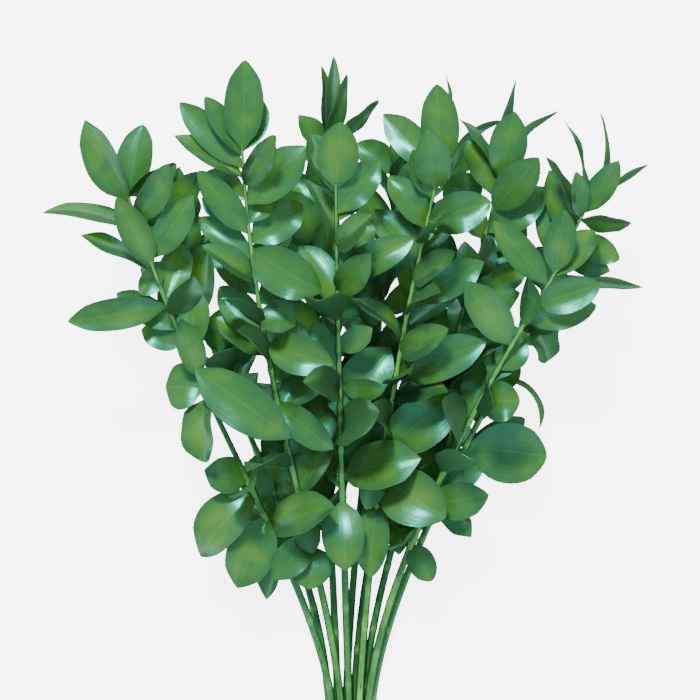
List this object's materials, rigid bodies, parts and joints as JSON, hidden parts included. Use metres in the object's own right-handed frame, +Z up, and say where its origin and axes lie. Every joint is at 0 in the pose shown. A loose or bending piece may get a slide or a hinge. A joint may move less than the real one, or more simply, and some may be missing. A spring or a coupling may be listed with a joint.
{
  "type": "ruscus stem bunch",
  "caption": "Florist's bunch of leafy ruscus stems, held near their cut ends by a rubber band and laid down on a surface.",
  "frame": {"origin": "on the surface that the bunch lies on, under the middle of its bounding box", "axes": "+Y along the bunch from the cut ends to the leafy tips, +X across it, +Z up off the surface"},
  "size_m": [0.516, 0.634, 0.1602],
  "materials": {
    "leaf_and_stem": "glossy leathery leaf",
    "band": "dull"
  },
  "bodies": {
    "root": {"leafy_stem_01": "leaf_and_stem", "leafy_stem_02": "leaf_and_stem", "leafy_stem_03": "leaf_and_stem", "leafy_stem_04": "leaf_and_stem", "leafy_stem_05": "leaf_and_stem", "leafy_stem_06": "leaf_and_stem", "leafy_stem_07": "leaf_and_stem", "leafy_stem_08": "leaf_and_stem", "leafy_stem_09": "leaf_and_stem", "leafy_stem_10": "leaf_and_stem", "leafy_stem_11": "leaf_and_stem", "rubber_band": "band"}
  },
  "joints": []
}
